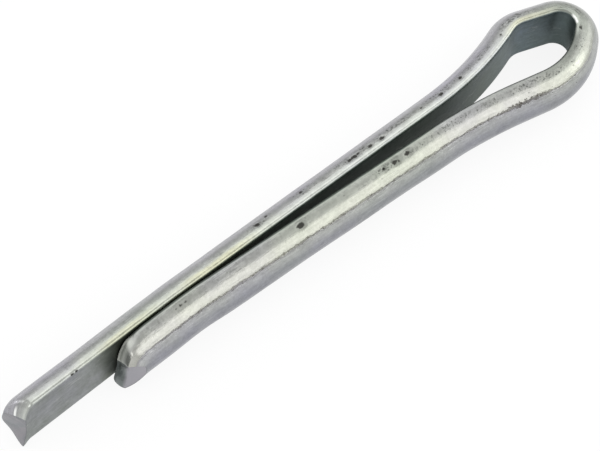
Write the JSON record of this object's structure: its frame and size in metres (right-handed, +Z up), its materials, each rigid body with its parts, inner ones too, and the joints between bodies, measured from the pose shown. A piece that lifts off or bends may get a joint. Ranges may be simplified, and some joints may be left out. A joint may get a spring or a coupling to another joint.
{
  "type": "split cotter pin",
  "caption": "Split cotter pin of folded half-round steel wire, with an open eye and one leg longer than the other.",
  "frame": {"origin": "on the shank's axis, half way along the stretch where the two legs lie together", "axes": "+X along the shank towards the eye, +Y towards the long leg, +Z up, square to the plane in which the wire is folded"},
  "size_m": [0.0737, 0.0116, 0.0058],
  "materials": {
    "zinc_plated_steel": "semi-gloss bright zinc plate over drawn wire, slightly mottled, with fine pits, a rubbed seam and scratches"
  },
  "bodies": {
    "root": {"pin": "zinc_plated_steel"}
  },
  "joints": []
}
